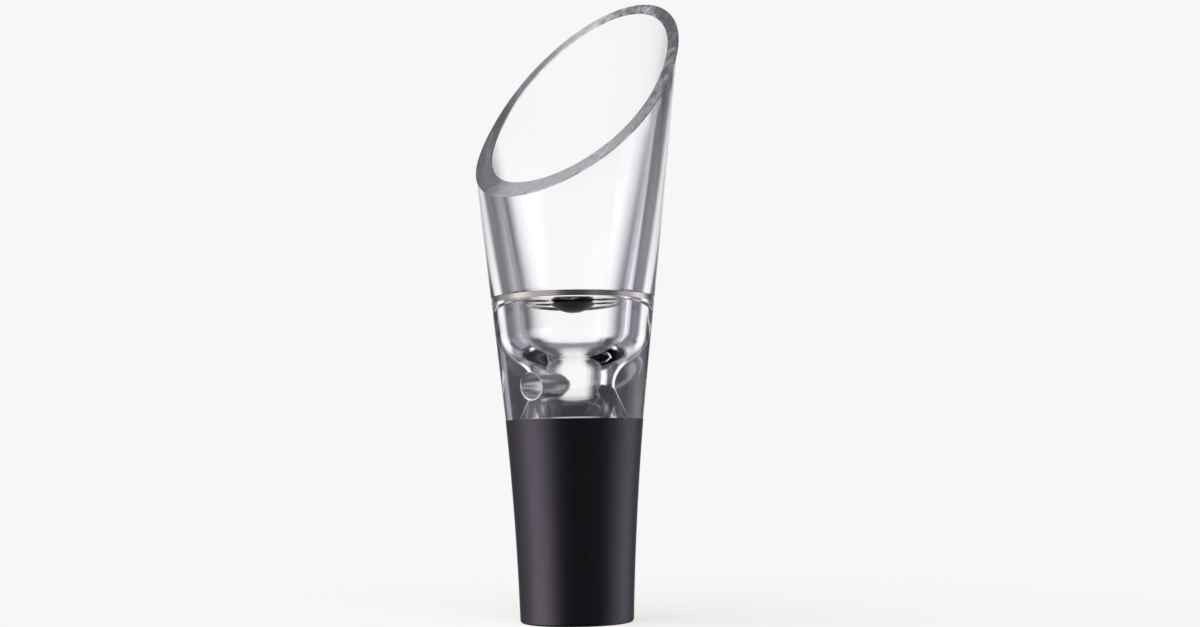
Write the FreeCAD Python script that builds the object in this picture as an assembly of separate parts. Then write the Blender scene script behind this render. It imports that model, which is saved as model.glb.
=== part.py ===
"""Wine aerator pourer: a rubber stopper, a clear venturi body, a perforated disc and a slanted clear spout.

The origin is the centre of the stopper's bottom face. +Z runs up the axis, +X points to the pouring lip,
and the air inlet opens towards -X, under the low side of the mouth. Lengths are millimetres.
"""
import FreeCAD, Part
import math
import os

from FreeCAD import Vector

# Heights of the stack, from the stopper's bottom face up
stopper_height = 31.9
body_height = 18.78
disc_thickness = 0.78
lip_rise = 52.69
joint_gap = 0.01

# Cone that the body and the spout share
shoulder_radius = 11.03
cone_angle = 6.38
edge_break = 0.05

# Stopper outside: the bottom, and how far the outline is drawn in at half height
stopper_base_radius = 9.0
stopper_waist = 0.25
stopper_edge_radius = 0.5
stopper_lip_thickness = 1.5
stopper_fit = 0.05

# Spigot under the shoulder, with the rings that hold the rubber
spigot_top_radius = 7.9
spigot_draft = 1.0
ring_height = 0.45
ring_length = 2.2
ring_first = 9.0
ring_pitch = 10.0
ring_count = 2

# Bowl under the disc: a drafted wall, then a round one that runs smoothly into the throat
bowl_radius = 8.78
bowl_draft = 5.5
bowl_curve_radius = 7.4

# Throat, the bell below it, then the channel down the spigot
throat_curve_radius = 5.54
throat_radius = 4.37
throat_rise = 5.7
bell_curve_radius = 2.24
bell_angle = 18.6
channel_radius = 6.0
channel_draft = 0.5

# Air inlet, drilled from the outside into the throat, a little uphill
inlet_radius = 1.93
inlet_rise = 5.0
inlet_tilt = 3.5
inlet_chamfer = 0.2

# Disc: a rim turned down over the body's edge, six holes, and a necked bulge that points down at the throat
disc_inset = 0.03
disc_lip_drop = 0.26
disc_lip_width = 0.6
lip_fit = 0.03
bulge_neck_radius = 2.95
bulge_neck_depth = 0.3
bulge_radius = 3.64
bulge_depth = 1.42
disc_hole_radius = 1.8
disc_hole_ring = 5.9
disc_hole_count = 6
disc_hole_first = 30.0

# Spout: inner wall, and the slanted mouth, straight near the lip and scooped towards the low side
spout_lip_wall = 1.15
spout_wall_bow = 0.235
spout_wall_stretches = 3
mouth_angle = 50.2
mouth_straight_end = 3.0
mouth_curve_radius = 167.0
rim_outer_edge = 0.16
rim_inner_edge = 0.12

# How far a cutting shape reaches past the surface that it cuts
overrun = 1.0

# Levels and radii that follow
disc_low = stopper_height + body_height
plate_low = disc_low + disc_lip_drop
disc_high = disc_low + disc_thickness
lip_height = disc_high + lip_rise
cone_slope = math.tan(math.radians(cone_angle))


def cone_radius(z):
    """Outer radius of the clear cone at height z."""
    return shoulder_radius + cone_slope * (z - stopper_height)


def at(r, z):
    """Point of a half section, at radius r and height z."""
    return Vector(r, 0, z)


def outline(*steps):
    """Closed wire through points: a point draws a line to it, (middle, end) an arc, (end, bow) a bowed line."""
    here = steps[0]
    edges = []
    for step in steps[1:] + (steps[0],):
        if not isinstance(step, tuple):
            if here.distanceToPoint(step) > 1e-6:
                edges.append(Part.LineSegment(here, step).toShape())
            here = step
        elif isinstance(step[1], Vector):
            edges.append(Part.Arc(here, step[0], step[1]).toShape())
            here = step[1]
        else:
            edges.append(bowed_line(here, step[0], step[1]))
            here = step[0]
    return Part.Wire(edges)


def bowed_line(start, end, bow):
    """Gently curved line whose middle stands a distance bow outwards, in radius, of the straight one."""
    curve = Part.BezierCurve()
    curve.setPoles([start, (start + end) / 2 + Vector(2 * bow, 0, 0), end])
    return curve.toShape()


def turned(wire):
    """Solid of revolution of a half section about the Z axis."""
    return Part.Face(wire).revolve(Vector(0, 0, 0), Vector(0, 0, 1), 360)


def arc_point(centre, radius, angle):
    """Point on a circle in the half section, angle in degrees from +X."""
    turn = math.radians(angle)
    return at(centre.x + radius * math.cos(turn), centre.z + radius * math.sin(turn))


def arc_steps(centre, radius, start, end):
    """The middle and end point of an arc, as outline takes them."""
    return arc_point(centre, radius, (start + end) / 2), arc_point(centre, radius, end)


def edges_near(shape, test):
    """Edges of a shape whose two ends and middle all pass a test."""
    picked = []
    for edge in shape.Edges:
        first, last = edge.ParameterRange
        points = [edge.valueAt(first), edge.valueAt((first + last) / 2), edge.valueAt(last)]
        if all(test(point) for point in points):
            picked.append(edge)
    return picked


def spigot_radius(z):
    """Outer radius of the spigot at height z."""
    return spigot_top_radius - math.tan(math.radians(spigot_draft)) * (stopper_height - z)


def channel_wall(z):
    """Radius of the straight channel below the bell, which opens slightly downwards."""
    return channel_radius + math.tan(math.radians(channel_draft)) * (bell_end().z - z)


def bell_centre():
    """Centre of the arc that opens from the throat downwards."""
    return at(throat_radius + bell_curve_radius, stopper_height + throat_rise)


def bell_end():
    """Where the bell's cone reaches the channel."""
    curve_end = arc_point(bell_centre(), bell_curve_radius, 180 + bell_angle)
    fall = (channel_radius - curve_end.x) / math.tan(math.radians(bell_angle))
    return at(channel_radius, curve_end.z - fall)


def bowl_steps():
    """Wall of the bowl and the mouth of the throat: the drafted part, then two arcs that touch smoothly."""
    draft = math.radians(bowl_draft)
    slope = math.tan(draft)
    throat_centre = at(throat_radius + throat_curve_radius, stopper_height + throat_rise)
    # the drafted wall goes down until the bowl's arc at its end touches the throat's arc
    reach = bowl_curve_radius + throat_curve_radius
    across = throat_centre.x - bowl_radius + bowl_curve_radius * math.cos(draft)
    drop = plate_low + bowl_curve_radius * math.sin(draft) - throat_centre.z
    half = drop - across * slope
    rest = (1 + slope ** 2) * (across ** 2 + drop ** 2 - reach ** 2)
    straight = (half - math.sqrt(half ** 2 - rest)) / (1 + slope ** 2)
    wall_end = at(bowl_radius - straight * slope, plate_low - straight)
    centre = arc_point(wall_end, bowl_curve_radius, 180 - bowl_draft)
    turn = math.degrees(math.asin((centre.z - throat_centre.z) / reach))
    return (
        wall_end,
        arc_steps(centre, bowl_curve_radius, -bowl_draft, -turn),
        arc_steps(throat_centre, throat_curve_radius, 180 - turn, 180),
    )


def passage():
    """Inside of the body: bowl, throat, bell and channel."""
    top = plate_low + overrun
    bottom = stopper_lip_thickness - overrun
    return turned(outline(
        at(0, top),
        at(bowl_radius + overrun * math.tan(math.radians(bowl_draft)), top),
        *bowl_steps(),
        arc_steps(bell_centre(), bell_curve_radius, 180, 180 + bell_angle),
        bell_end(),
        at(channel_wall(bottom), bottom),
        at(0, bottom),
    ))


def ring_levels():
    """Height of the sharp top edge of each holding ring on the spigot."""
    return [ring_first + number * ring_pitch for number in range(ring_count)]


def spigot_outline_points(clearance):
    """Outside of the spigot from bottom to top with its rings, moved out by a clearance."""
    points = []
    for top in ring_levels():
        points.append(at(spigot_radius(top - ring_length) + clearance, top - ring_length - clearance))
        points.append(at(spigot_radius(top) + ring_height + clearance, top + clearance))
        points.append(at(spigot_radius(top) + clearance, top + clearance))
    return points


def make_stopper():
    """Rubber sleeve with a turned-in lip under the end of the spigot."""
    top = stopper_height - joint_gap
    lip_radius = channel_wall(0)
    edge_centre = at(stopper_base_radius - stopper_edge_radius, stopper_edge_radius)
    return turned(outline(
        at(lip_radius, 0),
        at(edge_centre.x, 0),
        arc_steps(edge_centre, stopper_edge_radius, -90, 0),
        (at(cone_radius(stopper_height), top), -stopper_waist),
        at(spigot_radius(top) + stopper_fit, top),
        *reversed(spigot_outline_points(stopper_fit)),
        at(spigot_radius(stopper_lip_thickness) + stopper_fit, stopper_lip_thickness),
        at(lip_radius, stopper_lip_thickness),
    ))


def inlet_bore():
    """Drilled air hole with its flared edge, as a cutting shape."""
    mouth = at(-cone_radius(stopper_height + inlet_rise), stopper_height + inlet_rise)
    outwards = arc_point(at(0, 0), 1, 180 + inlet_tilt)
    depth = -mouth.x
    bore = Part.makeCylinder(inlet_radius, depth + overrun, mouth - outwards * depth, outwards)
    flare = Part.makeCone(
        inlet_radius, inlet_radius + inlet_chamfer + overrun, inlet_chamfer + overrun,
        mouth - outwards * inlet_chamfer, outwards,
    )
    return bore.fuse(flare)


def make_body():
    """Clear lower moulding: solid cone and spigot around the passage, with the air inlet."""
    spigot_end = stopper_lip_thickness + joint_gap
    step = disc_low - joint_gap
    top = plate_low - joint_gap
    seat = cone_radius(disc_low) - disc_inset - disc_lip_width - lip_fit
    blank = turned(outline(
        at(0, spigot_end),
        at(spigot_radius(spigot_end), spigot_end),
        *spigot_outline_points(0),
        at(spigot_radius(stopper_height), stopper_height),
        at(cone_radius(stopper_height), stopper_height),
        at(cone_radius(step - edge_break), step - edge_break),
        at(cone_radius(step - edge_break) - edge_break, step),
        at(seat, step),
        at(seat, top),
        at(0, top),
    ))
    return blank.cut(passage()).cut(inlet_bore())


def make_disc():
    """Thin disc with its turned-down rim, the bulge in the middle and the ring of holes."""
    edge = cone_radius(disc_low) - disc_inset
    bulge_top = plate_low - bulge_neck_depth
    sphere_radius = (bulge_radius ** 2 + bulge_depth ** 2) / (2 * bulge_depth)
    sphere_centre = at(0, bulge_top - bulge_depth + sphere_radius)
    rim_turn = math.degrees(math.asin(bulge_radius / sphere_radius))
    disc = turned(outline(
        at(0, bulge_top - bulge_depth),
        arc_steps(sphere_centre, sphere_radius, -90, -90 + rim_turn),
        at(bulge_neck_radius, plate_low),
        at(edge - disc_lip_width, plate_low),
        at(edge - disc_lip_width, disc_low),
        at(edge, disc_low),
        at(edge, disc_high),
        at(0, disc_high),
    ))
    for number in range(disc_hole_count):
        turn = math.radians(disc_hole_first + 360.0 / disc_hole_count * number)
        centre = Vector(disc_hole_ring * math.cos(turn), disc_hole_ring * math.sin(turn), disc_low - overrun)
        disc = disc.cut(Part.makeCylinder(disc_hole_radius, disc_thickness + 2 * overrun, centre))
    return disc


def mouth_tool():
    """Everything above the slanted mouth, to be cut away."""
    slope = math.tan(math.radians(mouth_angle))
    lip_x = cone_radius(lip_height)
    span = 2 * lip_x
    blend = at(mouth_straight_end, lip_height - slope * (lip_x - mouth_straight_end))
    beyond = at(span, blend.z + slope * (span - mouth_straight_end))
    # the scoop's centre is square to the straight stretch, on the side of the hollow
    centre = arc_point(blend, mouth_curve_radius, mouth_angle + 90)
    turn = math.degrees(span / mouth_curve_radius)
    middle, low_end = arc_steps(centre, mouth_curve_radius, mouth_angle - 90, mouth_angle - 90 - turn)
    wire = outline(beyond, blend, (middle, low_end), at(low_end.x, beyond.z))
    return Part.Face(wire).extrude(Vector(0, 2 * span, 0)).translated(Vector(0, -span, 0))


def spout_inner_radius(z):
    """Inner radius of the spout, on the line from the disc to the lip, bowed out a little in between."""
    lip_inner = cone_radius(lip_height) - spout_lip_wall
    share = (z - disc_high) / lip_rise
    return bowl_radius + (lip_inner - bowl_radius) * share + 4 * spout_wall_bow * share * (1 - share)


def make_spout():
    """Clear cone above the disc, bored to a taper in a few stretches and cut to the slanted mouth."""
    low = disc_high + joint_gap
    top = lip_height + overrun
    stations = [low + (top - low) * number / spout_wall_stretches for number in range(spout_wall_stretches + 1)]
    inner_wall = [at(spout_inner_radius(z), z) for z in stations]
    shell = turned(outline(
        *inner_wall,
        at(cone_radius(top), top),
        at(cone_radius(low + edge_break), low + edge_break),
        at(cone_radius(low + edge_break) - edge_break, low),
    ))
    shell = shell.cut(mouth_tool())
    spread = spout_lip_wall / 3

    def on_rim(point, radius):
        return point.z > disc_high + overrun and abs(math.hypot(point.x, point.y) - radius) < spread

    outer = edges_near(shell, lambda p: on_rim(p, cone_radius(p.z)))
    shell = shell.makeChamfer(rim_outer_edge, outer)
    inner = edges_near(shell, lambda p: on_rim(p, spout_inner_radius(p.z)))
    return shell.makeChamfer(rim_inner_edge, inner)


def main():
    os.makedirs("parts", exist_ok=True)
    pieces = {
        "stopper": make_stopper(),
        "venturi_body": make_body(),
        "aerator_disc": make_disc(),
        "spout": make_spout(),
    }
    for name, shape in pieces.items():
        solid = shape.Solids[0] if len(shape.Solids) == 1 else shape
        solid.exportStep(f"parts/{name}.step")
        box = solid.BoundBox
        print(f"{name}: {solid.isValid()} {len(shape.Solids)} solid, {solid.Volume:.1f} mm3, "
              f"x {box.XMin:.2f} {box.XMax:.2f} y {box.YMin:.2f} {box.YMax:.2f} z {box.ZMin:.2f} {box.ZMax:.2f}")


main()
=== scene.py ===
import math

import bpy
from mathutils import Euler, Matrix

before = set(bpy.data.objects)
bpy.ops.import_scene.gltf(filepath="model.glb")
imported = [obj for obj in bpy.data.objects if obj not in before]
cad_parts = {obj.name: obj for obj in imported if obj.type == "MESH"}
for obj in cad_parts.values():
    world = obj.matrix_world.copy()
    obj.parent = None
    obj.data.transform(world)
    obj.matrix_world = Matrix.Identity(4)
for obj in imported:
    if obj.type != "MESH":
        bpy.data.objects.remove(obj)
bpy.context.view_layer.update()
mm = 0.001

# the camera that took the picture, worked out from the outlines of the cone, the stopper and the mouth
shot = {
    "distance": 260.1 * mm,
    "height": 24.65 * mm,
    "turn": 54.58,
    "yaw": 0.956,
    "pitch": 5.343,
    "roll": -0.878,
    "focalPixels": 1621.0,
    "imageWidth": 1200,
    "sensor": 36.0,
    "nearest": 0.01,
    "farthest": 10,
}

# the bearing in which the camera looks, clockwise from +Y
ahead = math.radians(shot["turn"] + shot["yaw"])


def hexColour(code):
    parts = [int(code[i:i + 2], 16) / 255 for i in (1, 3, 5)]
    linear = [p / 12.92 if p <= 0.04045 else ((p + 0.055) / 1.055) ** 2.4 for p in parts]
    return (*linear, 1.0)


# each input takes a plain value, a socket, or a node for its first output
def addNode(tree, kind, inputs=None, **settings):
    node = tree.nodes.new("ShaderNode" + kind)
    for name, value in settings.items():
        setattr(node, name, value)
    for place, value in (inputs or {}).items():
        if isinstance(value, bpy.types.Node):
            value = value.outputs[0]
        if isinstance(value, bpy.types.NodeSocket):
            tree.links.new(value, node.inputs[place])
        else:
            node.inputs[place].default_value = value
    return node


def newMaterial(name):
    material = bpy.data.materials.new(name)
    material.use_nodes = True
    tree = material.node_tree
    tree.nodes.clear()
    return material, tree


def millimetres(tree):
    place = addNode(tree, "TexCoord").outputs["Object"]
    scaled = addNode(tree, "VectorMath", {0: place, "Scale": 1 / mm}, operation="SCALE")
    axes = addNode(tree, "SeparateXYZ", {0: scaled})
    return scaled, axes.outputs["X"], axes.outputs["Y"], axes.outputs["Z"]


# mottling with so many patches to the millimetre along each axis
def mottling(tree, place, perMillimetre, detail=3.0, contrast=0.5):
    stretched = addNode(tree, "VectorMath", {0: place, 1: perMillimetre}, operation="MULTIPLY")
    return addNode(tree, "TexNoise", {
        "Vector": stretched, "Scale": 1.0, "Detail": detail, "Roughness": contrast})


# mottling of 0 to 1 turned into middle - swing to middle + swing
def around(tree, value, middle, swing):
    return addNode(tree, "Math", {0: value, 1: 2 * swing, 2: middle - swing}, operation="MULTIPLY_ADD")


acrylic = {
    "colour": "#FFFFFF",
    "ior": 1.49,
    "ripple": 0.0012,
    "ripplePitch": 4.0,
    "rippleDetail": 1.0,
    "streakDetail": 4.0,
    "streakContrast": 0.6,
}
cut = {
    "slope": 50.2,
    "blend": 3.0,
    "radius": 167.0,
    "lipHeight": 104.15,
    "lipReach": 19.108,
    "depth": 0.15,
    "roughness": 0.4,
    "roughnessSwing": 0.3,
    "frost": 0.85,
    "frostSwing": 0.9,
    "frostColour": "#FBFDF4",
    # painted shade: the grey the ground face is painted towards the lip
    "lipShadeColour": "#8C8D8E",
    "streakDepth": 1.1,
    "streaks": (0.7, 0.7, 0.1),
    "lowSide": -13.0,
    "lipSide": 14.0,
    "farFrom": 1.0,
    "farTo": 9.0,
    "farShare": 0.3,
}
bore = {
    "mouthReach": 11.589,
    "mouthHeight": 36.9,
    "tilt": 3.5,
    "radius": 2.16,
    "innerEnd": -2.0,
    "roughness": 0.34,
    "roughnessSwing": 0.16,
    "frost": 0.85,
    "frostSwing": 1.0,
    "frostColour": "#FFFFFB",
    "gleam": 0.55,
    "gleamRoughness": 0.3,
    "streaks": (0.25, 3.0, 3.0),
}
bell = {
    "top": 35.2,
    "fade": 1.4,
    "wave": 0.012,
    "pitch": 1.9,
}


# 1 on the ground face of the slanted mouth and 0 elsewhere
def nearCut(tree, place, x):
    slope = math.radians(cut["slope"])
    flat = addNode(tree, "VectorMath", {0: place, 1: (1, 0, 1)}, operation="MULTIPLY")
    # straight half of the cut: distance from the line through the lip
    lip = (cut["lipReach"], 0, cut["lipHeight"])
    square = (-math.sin(slope), 0, math.cos(slope))
    fromLip = addNode(tree, "VectorMath", {0: flat, 1: lip}, operation="SUBTRACT")
    straight = addNode(tree, "VectorMath", {0: fromLip, 1: square}, operation="DOT_PRODUCT")
    # hollow half of the cut: distance from the long arc that touches the line
    blendHeight = cut["lipHeight"] + (cut["blend"] - cut["lipReach"]) * math.tan(slope)
    centreX = cut["blend"] - cut["radius"] * math.sin(slope)
    centreZ = blendHeight + cut["radius"] * math.cos(slope)
    reach = addNode(tree, "VectorMath", {0: flat, 1: (centreX, 0, centreZ)}, operation="DISTANCE")
    hollow = addNode(tree, "Math", {0: reach.outputs["Value"], 1: cut["radius"]}, operation="SUBTRACT")
    past = addNode(tree, "Math", {0: x, 1: cut["blend"]}, operation="GREATER_THAN")
    off = addNode(tree, "Mix", {0: past, 2: hollow, 3: straight.outputs["Value"]}, data_type="FLOAT")
    gap = addNode(tree, "Math", {0: off}, operation="ABSOLUTE")
    return addNode(tree, "Math", {0: gap, 1: cut["depth"]}, operation="LESS_THAN")


# 1 on the wall of the drilled air inlet and 0 elsewhere
def nearBore(tree, place, x):
    tilt = math.radians(bore["tilt"])
    mouth = (-bore["mouthReach"], 0, bore["mouthHeight"])
    axis = (math.cos(tilt), 0, math.sin(tilt))
    fromMouth = addNode(tree, "VectorMath", {0: place, 1: mouth}, operation="SUBTRACT")
    crossed = addNode(tree, "VectorMath", {0: fromMouth, 1: axis}, operation="CROSS_PRODUCT")
    reach = addNode(tree, "VectorMath", {0: crossed}, operation="LENGTH")
    inside = addNode(tree, "Math", {0: reach.outputs["Value"], 1: bore["radius"]}, operation="LESS_THAN")
    outer = addNode(tree, "Math", {0: x, 1: bore["innerEnd"]}, operation="LESS_THAN")
    return addNode(tree, "Math", {0: inside, 1: outer}, operation="MULTIPLY")


# clear moulded acrylic bends the white tent into bright middles and dark bands;
# where it was ground or drilled it gives the eye a dull silver grey with tool streaks; the ground face
# greys towards the lip with painted shade
def clearAcrylic(name, worked, settings):
    material, tree = newMaterial(name)
    place, x, y, z = millimetres(tree)
    spot = nearCut(tree, place, x) if worked == "cut" else nearBore(tree, place, x)
    streak = mottling(tree, place, settings["streaks"], acrylic["streakDetail"], acrylic["streakContrast"])
    rough = around(tree, streak, settings["roughness"], settings["roughnessSwing"])
    # the polished faces are never quite true: a ripple of about a micron bends what is seen through them
    ripple = mottling(tree, place, (1 / acrylic["ripplePitch"],) * 3, acrylic["rippleDetail"])
    height = addNode(tree, "Math", {0: ripple, 1: acrylic["ripple"]}, operation="MULTIPLY")
    if worked == "bore":
        # the bell below the throat is wavier
        depth = addNode(tree, "MapRange", {
            "Value": z, "From Min": bell["top"] - bell["fade"], "From Max": bell["top"],
            "To Min": bell["wave"], "To Max": 0.0}, interpolation_type="SMOOTHSTEP")
        waves = mottling(tree, place, (1 / bell["pitch"],) * 3)
        wavy = addNode(tree, "Math", {0: depth, 1: waves}, operation="MULTIPLY")
        height = addNode(tree, "Math", {0: height, 1: wavy}, operation="ADD")
    clear = addNode(tree, "BsdfPrincipled", {
        "Base Color": hexColour(acrylic["colour"]), "IOR": acrylic["ior"], "Transmission Weight": 1.0,
        "Roughness": addNode(tree, "Math", {0: spot, 1: rough}, operation="MULTIPLY"),
        "Normal": addNode(tree, "Bump", {"Strength": 1.0, "Distance": mm, "Height": height})})
    worn = addNode(tree, "BsdfDiffuse", {"Color": hexColour(settings["frostColour"])})
    share = around(tree, streak, settings["frost"], settings["frostSwing"])
    if worked == "cut":
        # painted shade: the frost is whitest at the low side and is painted greyer towards the lip,
        # standing in for how the light falls on the cut; the streak marks mixed in are the tool's own
        towards = addNode(tree, "MapRange", {
            "Value": x, "From Min": cut["lowSide"], "From Max": cut["lipSide"]},
            interpolation_type="SMOOTHSTEP")
        marks = around(tree, streak, 0.0, cut["streakDepth"])
        blend = addNode(tree, "Math", {0: towards, 1: marks}, operation="ADD")
        tint = addNode(tree, "Mix", {
            0: blend, 6: hexColour(cut["frostColour"]), 7: hexColour(cut["lipShadeColour"])}, data_type="RGBA")
        tree.links.new(tint.outputs[2], worn.inputs["Color"])
        # and it hardly touched the far flank
        far = addNode(tree, "MapRange", {
            "Value": y, "From Min": cut["farFrom"], "From Max": cut["farTo"],
            "To Min": 1.0, "To Max": cut["farShare"]}, interpolation_type="SMOOTHSTEP")
        share = addNode(tree, "Math", {0: share, 1: far}, operation="MULTIPLY")
    if worked == "bore":
        # light that meets the drilled wall from inside the plastic is thrown back, as by dull silver
        gleam = addNode(tree, "BsdfGlossy", {
            "Color": hexColour(settings["frostColour"]), "Roughness": settings["gleamRoughness"]})
        worn = addNode(tree, "MixShader", {0: settings["gleam"], 1: worn, 2: gleam})
    frosted = addNode(tree, "Math", {0: spot, 1: share}, operation="MULTIPLY")
    both = addNode(tree, "MixShader", {0: frosted, 1: clear, 2: worn})
    addNode(tree, "OutputMaterial", {"Surface": both})
    return material


rubber = {
    "colour": "#171117",
    "ior": 1.5,
    "sheen": "#FFF7FF",
    "gloss": 1.0,
    "roughness": 0.42,
    "roughnessSwing": 0.06,
    "clouds": 3.0,
    "grain": 0.16,
    "grainDetail": 2.0,
    "grainHeight": 0.012,
}


# moulded rubber gives the eye a warm black with two broad soft side lights and a fine matt grain
def blackRubber():
    material, tree = newMaterial("mouldedBlackRubber")
    place = millimetres(tree)[0]
    clouds = mottling(tree, place, (1 / rubber["clouds"],) * 3)
    grain = mottling(tree, place, (1 / rubber["grain"],) * 3, rubber["grainDetail"])
    height = addNode(tree, "Math", {0: grain, 1: rubber["grainHeight"]}, operation="MULTIPLY")
    shader = addNode(tree, "BsdfPrincipled", {
        "Base Color": hexColour(rubber["colour"]), "IOR": rubber["ior"],
        "Specular Tint": hexColour(rubber["sheen"]), "Specular IOR Level": rubber["gloss"],
        "Roughness": around(tree, clouds, rubber["roughness"], rubber["roughnessSwing"]),
        "Normal": addNode(tree, "Bump", {"Strength": 1.0, "Distance": mm, "Height": height})})
    addNode(tree, "OutputMaterial", {"Surface": shader})
    return material


steel = {
    "colour": "#BAB7AC",
    "roughness": 0.09,
    "edgeReach": 12.95,
    "edgeColour": "#E4E0CF",
    "edgeRoughness": 0.22,
    "ribs": 42.0,
    "ribStretch": 0.25,
    "ribContrast": 0.6,
    "ribHeight": 0.02,
    "bulgeTop": 50.9,
    "bulgeReach": 3.8,
    # painted shade: the bulge's steel is painted darker for the dark it mirrors
    "bulgeShadeColour": "#8F898A",
    "bulgeRoughness": 0.4,
}


# punched stainless steel gives the eye a warm grey edge with fine upright shear marks, and a duller bulge
# painted darker as shade
def punchedSteel():
    material, tree = newMaterial("punchedStainlessSteel")
    place, x, y, z = millimetres(tree)
    flat = addNode(tree, "VectorMath", {0: place, 1: (1, 1, 0)}, operation="MULTIPLY")
    reach = addNode(tree, "VectorMath", {0: flat}, operation="LENGTH").outputs["Value"]
    edge = addNode(tree, "Math", {0: reach, 1: steel["edgeReach"]}, operation="GREATER_THAN")
    low = addNode(tree, "Math", {0: z, 1: steel["bulgeTop"]}, operation="LESS_THAN")
    middle = addNode(tree, "Math", {0: reach, 1: steel["bulgeReach"]}, operation="LESS_THAN")
    bulge = addNode(tree, "Math", {0: low, 1: middle}, operation="MULTIPLY")
    plain = addNode(tree, "Mix", {
        0: edge, 6: hexColour(steel["colour"]), 7: hexColour(steel["edgeColour"])}, data_type="RGBA")
    # painted shade: the bulge is painted darker for the dark surroundings it mirrors; its dullness is real
    # roughness
    colour = addNode(tree, "Mix", {
        0: bulge, 6: plain.outputs[2], 7: hexColour(steel["bulgeShadeColour"])}, data_type="RGBA")
    rough = steel["roughness"]
    for mask, maskRough in ((edge, steel["edgeRoughness"]), (bulge, steel["bulgeRoughness"])):
        rough = addNode(tree, "Math", {
            0: mask, 1: maskRough - steel["roughness"], 2: rough}, operation="MULTIPLY_ADD")
    # shear marks of the punch stand upright round the edge
    angle = addNode(tree, "Math", {0: y, 1: x}, operation="ARCTAN2")
    turn = addNode(tree, "Math", {0: angle, 1: steel["ribs"]}, operation="MULTIPLY")
    rise = addNode(tree, "Math", {0: z, 1: steel["ribStretch"]}, operation="MULTIPLY")
    upright = addNode(tree, "CombineXYZ", {0: turn, 2: rise})
    ribs = mottling(tree, upright, (1, 1, 1), contrast=steel["ribContrast"])
    marks = addNode(tree, "Math", {0: ribs, 1: edge}, operation="MULTIPLY")
    height = addNode(tree, "Math", {0: marks, 1: steel["ribHeight"]}, operation="MULTIPLY")
    shader = addNode(tree, "BsdfPrincipled", {
        "Metallic": 1.0, "Base Color": colour.outputs[2], "Roughness": rough,
        "Normal": addNode(tree, "Bump", {"Strength": 1.0, "Distance": mm, "Height": height})})
    addNode(tree, "OutputMaterial", {"Surface": shader})
    return material


def dress(node, material):
    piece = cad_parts[node]
    piece.data.materials.clear()
    piece.data.materials.append(material)
    print(node, "dressed in", material.name)


dress("spout", clearAcrylic("mouldedClearAcrylicGroundMouth", "cut", cut))
dress("venturi_body", clearAcrylic("mouldedClearAcrylicDrilledInlet", "bore", bore))
dress("aerator_disc", punchedSteel())
dress("stopper", blackRubber())

# the light tent round the object, in degrees: azimuths run clockwise from straight behind it,
# and elevations are above its own level; each light fades over its edge, lowFade and highFade
tent = {
    "page": "#F7F7F7",
    "white": "#FFFFFF",
    "lavender": "#F4EFFF",
    "top": 0.05,
    "topFrom": 5,
    "topTo": 10,
    "middle": 0.14,
    "low": 0.1,
    "lowFrom": -17,
    "lowTo": -7,
    "frontShade": 0.28,
    "shadeFrom": -0.7,  # cosines of the azimuth
    "shadeTo": -0.1,
}
# the white backdrop that shows through the clear walls
backdrop = {
    "azimuth": 0, "half": 17.5, "edge": 19,
    "bottom": -15, "lowFade": 10, "top": 18.5, "highFade": 11, "strength": 0.96,
}
# its foot, which curves towards the object
apron = {
    "azimuth": -1, "half": 11, "edge": 9,
    "bottom": -23, "lowFade": 9, "top": -15, "highFade": 10, "strength": 0.95,
}
cards = [
    # the overhead light, to the camera's left
    {"azimuth": -140, "half": 85, "edge": 30,
     "bottom": 38, "lowFade": 16, "top": 84, "highFade": 5, "strength": 1.5},
    # narrow strips at the disc's level, which its edge mirrors
    {"azimuth": -140, "half": 20, "edge": 16,
     "bottom": 5, "lowFade": 4, "top": 11, "highFade": 5, "strength": 1.2},
    {"azimuth": -103, "half": 16, "edge": 16,
     "bottom": 6, "lowFade": 3, "top": 11, "highFade": 5, "strength": 2.0},
    {"azimuth": 180, "half": 22, "edge": 20,
     "bottom": 3, "lowFade": 4, "top": 11, "highFade": 6, "strength": 0.06},
    {"azimuth": 130, "half": 25, "edge": 14,
     "bottom": 3, "lowFade": 4, "top": 9, "highFade": 4, "strength": 0.18},
    # two cards on the right and one on the left, beside the backdrop
    {"azimuth": 68, "half": 15, "edge": 7,
     "bottom": -42, "lowFade": 10, "top": 16, "highFade": 10, "strength": 0.55},
    {"azimuth": 86, "half": 24, "edge": 16,
     "bottom": -42, "lowFade": 10, "top": 9, "highFade": 8, "strength": 0.6},
    {"azimuth": -82, "half": 30, "edge": 24,
     "bottom": -42, "lowFade": 10, "top": 14, "highFade": 10, "strength": 0.32},
    # the lit table top, behind and at each side
    {"azimuth": -1, "half": 10, "edge": 9,
     "bottom": -50, "lowFade": 16, "top": -23, "highFade": 9, "strength": 0.25},
    {"azimuth": -50, "half": 24, "edge": 10,
     "bottom": -48, "lowFade": 12, "top": -9, "highFade": 8, "strength": 0.14},
    {"azimuth": 50, "half": 20, "edge": 10,
     "bottom": -48, "lowFade": 12, "top": -9, "highFade": 8, "strength": 0.1},
    # a strong low light on the left and a faint upright one to the camera's right
    {"azimuth": -109, "half": 25, "edge": 22,
     "bottom": -30, "lowFade": 14, "top": -8, "highFade": 6, "strength": 3.0},
    {"azimuth": 150, "half": 10, "edge": 8,
     "bottom": -16, "lowFade": 10, "top": 24, "highFade": 10, "strength": 0.1},
]


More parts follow.
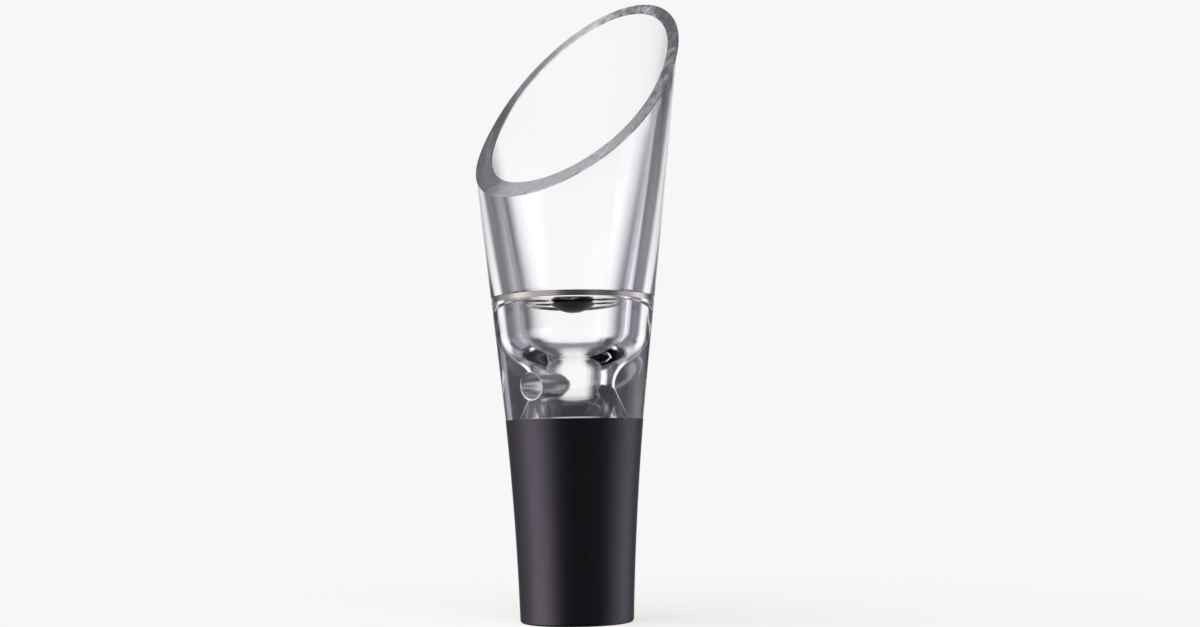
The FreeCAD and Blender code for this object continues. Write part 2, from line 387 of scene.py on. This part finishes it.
def makeSoftbox(tree, level, elevation, box):
    angle = math.radians(box["azimuth"])
    heading = (math.sin(ahead + angle), math.cos(ahead + angle), 0)
    facing = addNode(tree, "VectorMath", {0: level, 1: heading}, operation="DOT_PRODUCT")
    cosine = addNode(tree, "Math", {0: facing.outputs["Value"], 1: 1.0}, operation="MINIMUM")
    away = addNode(tree, "Math", {0: cosine}, operation="ARCCOSINE")
    # the lower, upper and side edges: where each is, its fade, and the light before and after it
    edges = (
        (elevation, box["bottom"], box["lowFade"], 0.0, 1.0),
        (elevation, box["top"], box["highFade"], 1.0, 0.0),
        (away, box["half"], box["edge"], box["strength"], 0.0),
    )
    light = 1.0
    for value, middle, fade, before, after in edges:
        step = addNode(tree, "MapRange", {
            "Value": value, "From Min": math.radians(middle - fade / 2),
            "From Max": math.radians(middle + fade / 2),
            "To Min": before, "To Max": after}, interpolation_type="SMOOTHSTEP")
        light = addNode(tree, "Math", {0: light, 1: step}, operation="MULTIPLY")
    return light


def makeTent():
    world = bpy.data.worlds.new("lightTent")
    bpy.context.scene.world = world
    world.use_nodes = True
    tree = world.node_tree
    tree.nodes.clear()
    direction = addNode(tree, "TexCoord").outputs["Generated"]
    flat = addNode(tree, "VectorMath", {0: direction, 1: (1, 1, 0)}, operation="MULTIPLY")
    level = addNode(tree, "VectorMath", {0: flat}, operation="NORMALIZE")
    height = addNode(tree, "SeparateXYZ", {0: direction}).outputs["Z"]
    elevation = addNode(tree, "Math", {0: height}, operation="ARCSINE")
    upper = addNode(tree, "MapRange", {
        "Value": elevation, "From Min": math.radians(tent["topFrom"]),
        "From Max": math.radians(tent["topTo"]),
        "To Min": tent["middle"], "To Max": tent["top"]}, interpolation_type="SMOOTHSTEP")
    lower = addNode(tree, "MapRange", {
        "Value": elevation, "From Min": math.radians(tent["lowFrom"]),
        "From Max": math.radians(tent["lowTo"]),
        "To Min": tent["low"] - tent["middle"], "To Max": 0.0}, interpolation_type="SMOOTHSTEP")
    walls = addNode(tree, "Math", {0: upper, 1: lower}, operation="ADD")
    # the camera's side of the tent is darker
    forward = (math.sin(ahead), math.cos(ahead), 0)
    behind = addNode(tree, "VectorMath", {0: level, 1: forward}, operation="DOT_PRODUCT")
    shade = addNode(tree, "MapRange", {
        "Value": behind.outputs["Value"], "From Min": tent["shadeFrom"], "From Max": tent["shadeTo"],
        "To Min": tent["frontShade"], "To Max": 1.0}, interpolation_type="SMOOTHSTEP")
    total = addNode(tree, "Math", {0: walls, 1: shade}, operation="MULTIPLY")
    for box in cards:
        softbox = makeSoftbox(tree, level, elevation, box)
        total = addNode(tree, "Math", {0: total, 1: softbox}, operation="ADD")
    sides = addNode(tree, "Background", {"Color": hexColour(tent["lavender"]), "Strength": total})
    bright = addNode(tree, "Math", {
        0: makeSoftbox(tree, level, elevation, backdrop),
        1: makeSoftbox(tree, level, elevation, apron)}, operation="ADD")
    white = addNode(tree, "Background", {"Color": hexColour(tent["white"]), "Strength": bright})
    both = addNode(tree, "AddShader", {0: sides, 1: white})
    # the camera alone sees the page
    page = addNode(tree, "Background", {"Color": hexColour(tent["page"]), "Strength": 1.0})
    ray = addNode(tree, "LightPath").outputs["Is Camera Ray"]
    mix = addNode(tree, "MixShader", {0: ray, 1: both, 2: page})
    addNode(tree, "OutputWorld", {"Surface": mix})
    print("light tent", len(cards), "cards")


makeTent()

table = {
    "size": 6.0,
    "white": "#C8C8C8",
    "glow": 0.682,
    "glowColour": "#FDFFF8",
}


# pale laminate gives the eye only the soft shadow under the stopper; its colour meets the page behind it
def makeTable():
    bpy.ops.object.select_all(action="DESELECT")
    bpy.ops.mesh.primitive_plane_add(size=table["size"])
    piece = bpy.context.active_object
    piece.name = "paleTable"
    material, tree = newMaterial("matPaleLaminate")
    lit = addNode(tree, "BsdfDiffuse", {"Color": hexColour(table["white"])})
    glow = addNode(tree, "Emission", {"Color": hexColour(table["glowColour"]), "Strength": table["glow"]})
    both = addNode(tree, "AddShader", {0: lit, 1: glow})
    addNode(tree, "OutputMaterial", {"Surface": both})
    piece.data.materials.append(material)
    # the camera alone sees the table; the object mirrors and bends the tent instead
    piece.visible_transmission = False
    piece.visible_glossy = False
    piece.visible_diffuse = False
    print("table set")


makeTable()


def makeCamera():
    lens = bpy.data.cameras.new("photoCamera")
    camera = bpy.data.objects.new("photoCamera", lens)
    bpy.context.scene.collection.objects.link(camera)
    turn = math.radians(shot["turn"])
    away = shot["distance"]
    camera.location = (-away * math.sin(turn), -away * math.cos(turn), shot["height"])
    heading = Euler((math.radians(90 + shot["pitch"]), 0, -ahead)).to_matrix()
    roll = Matrix.Rotation(math.radians(shot["roll"]), 3, "Z")
    camera.rotation_mode = "QUATERNION"
    camera.rotation_quaternion = (heading @ roll).to_quaternion()
    lens.sensor_width = shot["sensor"]
    lens.lens = shot["focalPixels"] / shot["imageWidth"] * shot["sensor"]
    lens.clip_start = shot["nearest"]
    lens.clip_end = shot["farthest"]
    bpy.context.scene.camera = camera
    print("camera set")


makeCamera()

# light bounces many times between the clear faces
bounces = 24
bpy.context.scene.view_settings.view_transform = "Standard"
bpy.context.scene.cycles.max_bounces = bounces
bpy.context.scene.cycles.transmission_bounces = bounces
print("bounces set")
